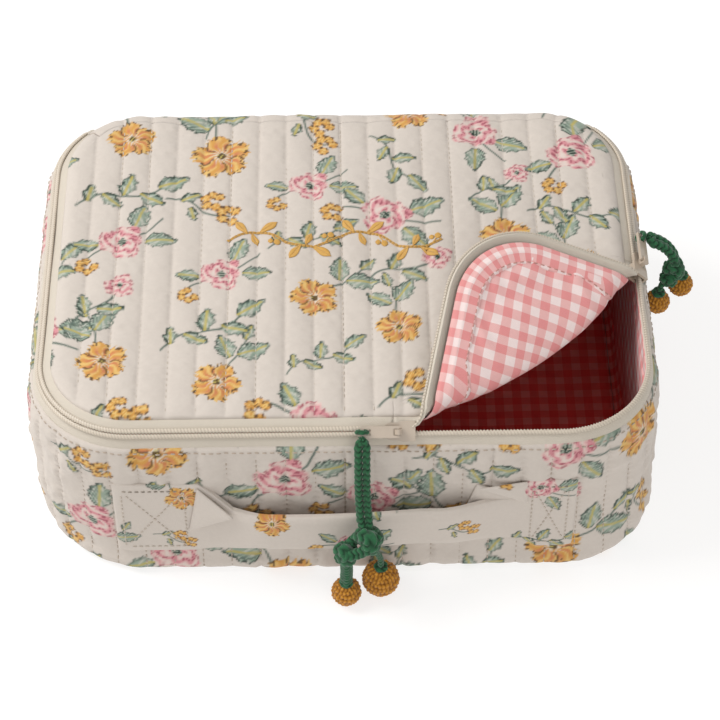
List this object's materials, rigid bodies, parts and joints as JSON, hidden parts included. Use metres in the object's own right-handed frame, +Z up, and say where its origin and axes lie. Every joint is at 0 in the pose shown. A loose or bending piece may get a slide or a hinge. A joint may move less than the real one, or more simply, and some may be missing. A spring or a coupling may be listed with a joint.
{
  "type": "makeup bag",
  "caption": "Quilted floral cotton vanity case with a zip-round lid, folded-back corner, gingham lining, carrying handle and crocheted zip charms.",
  "frame": {"origin": "centre of the base, on the surface that the case stands on", "axes": "+Z up, +X to the case's right, -Y towards its front, where the handle is"},
  "size_m": [0.283, 0.2221, 0.1147],
  "materials": {
    "printed_cotton": "quilted cream cotton with a small floral print",
    "wadding": "loose white wadding",
    "gingham_cotton": "plain woven pink and white gingham cotton",
    "embroidery_thread": "satin stitched thread",
    "zip_tape": "fine herringbone woven tape",
    "zip_coil": "nylon coil",
    "enamelled_metal": "cream enamel",
    "green_crochet": "crocheted cotton yarn",
    "mustard_crochet": "crocheted cotton yarn"
  },
  "bodies": {
    "case": {"base_outer": "printed_cotton", "base_wadding": "wadding", "base_lining": "gingham_cotton", "wall_outer": "printed_cotton", "wall_wadding": "wadding", "wall_lining": "gingham_cotton", "back_outer": "printed_cotton", "back_wadding": "wadding", "back_lining": "gingham_cotton", "base_seam_binding": "gingham_cotton", "wall_edge_binding": "gingham_cotton", "hinge_binding": "gingham_cotton", "wall_zip_tape": "zip_tape", "wall_zip_coil": "zip_coil", "zip_end_covers": "zip_tape", "handle_tab_left": "printed_cotton", "handle_tab_right": "printed_cotton", "handle_tab_stitching": "embroidery_thread", "handle_pleat_left": "printed_cotton", "handle_pleat_right": "printed_cotton"},
    "lid": {"lid_outer": "printed_cotton", "lid_wadding": "wadding", "lid_lining": "gingham_cotton", "lid_zip_tape": "zip_tape", "lid_zip_coil": "zip_coil", "lid_edge_binding": "gingham_cotton", "lid_embroidery": "embroidery_thread"},
    "lid_corner": {"corner_outer": "printed_cotton", "corner_wadding": "wadding", "corner_lining": "gingham_cotton", "corner_zip_tape": "zip_tape", "corner_zip_coil": "zip_coil", "corner_edge_binding": "gingham_cotton"},
    "handle": {"handle_grip": "printed_cotton"},
    "front_slider": {"front_slider": "enamelled_metal"},
    "front_pull_tab": {"front_pull_tab": "enamelled_metal"},
    "front_loop": {"front_cord_loop": "green_crochet"},
    "front_charm": {"front_charm_top_knot": "green_crochet", "front_strand_left": "green_crochet", "front_strand_right": "green_crochet", "front_charm_knot": "green_crochet", "front_charm_stems": "green_crochet", "front_charm_caps": "green_crochet", "front_ball_left": "mustard_crochet", "front_ball_right": "mustard_crochet"},
    "side_slider": {"side_slider": "enamelled_metal"},
    "side_pull_tab": {"side_pull_tab": "enamelled_metal"},
    "side_loop": {"side_cord_loop": "green_crochet"},
    "side_charm": {"side_charm_top_knot": "green_crochet", "side_strand_back": "green_crochet", "side_strand_front": "green_crochet", "side_charm_knot": "green_crochet", "side_charm_stems": "green_crochet", "side_charm_caps": "green_crochet", "side_ball_outer": "mustard_crochet", "side_ball_inner": "mustard_crochet"}
  },
  "joints": [
    {"name": "lid_hinge", "type": "hinge", "parent": "case", "child": "lid", "pos_m": [0, 0.0929, 0.0839], "axis": [-1, 0, 0], "range_deg": [0, 170]},
    {"name": "corner_fold", "type": "hinge", "parent": "lid", "child": "lid_corner", "pos_m": [0.05806, -0.06798, 0.088], "axis": [-0.7604, -0.6494, 0], "range_deg": [-150, 0]},
    {"name": "front_slider_run", "type": "slide", "parent": "case", "child": "front_slider", "axis": [-1, 0, 0], "range_m": [-0.055, 0.09]},
    {"name": "side_slider_run", "type": "slide", "parent": "case", "child": "side_slider", "axis": [0, 1, 0], "range_m": [-0.036, 0.044]},
    {"name": "front_tab_flip", "type": "hinge", "parent": "front_slider", "child": "front_pull_tab", "pos_m": [0.02136, -0.09641, 0.08741], "axis": [0, 0.7071, 0.7071], "range_deg": [0, 180]},
    {"name": "side_tab_flip", "type": "hinge", "parent": "side_slider", "child": "side_pull_tab", "pos_m": [0.12841, -0.00337, 0.08741], "axis": [0.7071, 0, -0.7071], "range_deg": [0, 180]},
    {"name": "front_loop_turn", "type": "hinge", "parent": "front_pull_tab", "child": "front_loop", "pos_m": [0.00696, -0.09641, 0.08741], "axis": [0, 0.7071, 0.7071], "range_deg": [-180, 0]},
    {"name": "side_loop_turn", "type": "hinge", "parent": "side_pull_tab", "child": "side_loop", "pos_m": [0.12841, 0.01103, 0.08741], "axis": [0.7071, 0, -0.7071], "range_deg": [-180, 0]},
    {"name": "front_charm_swing", "type": "hinge", "parent": "front_loop", "child": "front_charm", "pos_m": [0.00696, -0.10006, 0.08668], "axis": [-1, 0, 0], "range_deg": [0, 60]},
    {"name": "side_charm_swing", "type": "hinge", "parent": "side_loop", "child": "side_charm", "pos_m": [0.13206, 0.01103, 0.08668], "axis": [0, -1, 0], "range_deg": [0, 60]},
    {"name": "handle_tip", "type": "hinge", "parent": "case", "child": "handle", "pos_m": [0, -0.099, 0.037], "axis": [1, 0, 0], "range_deg": [-35, 35]}
  ],
  "couplings": [
    {"joint": "front_loop_turn", "follows": "front_tab_flip", "ratio": -1},
    {"joint": "side_loop_turn", "follows": "side_tab_flip", "ratio": -1}
  ]
}
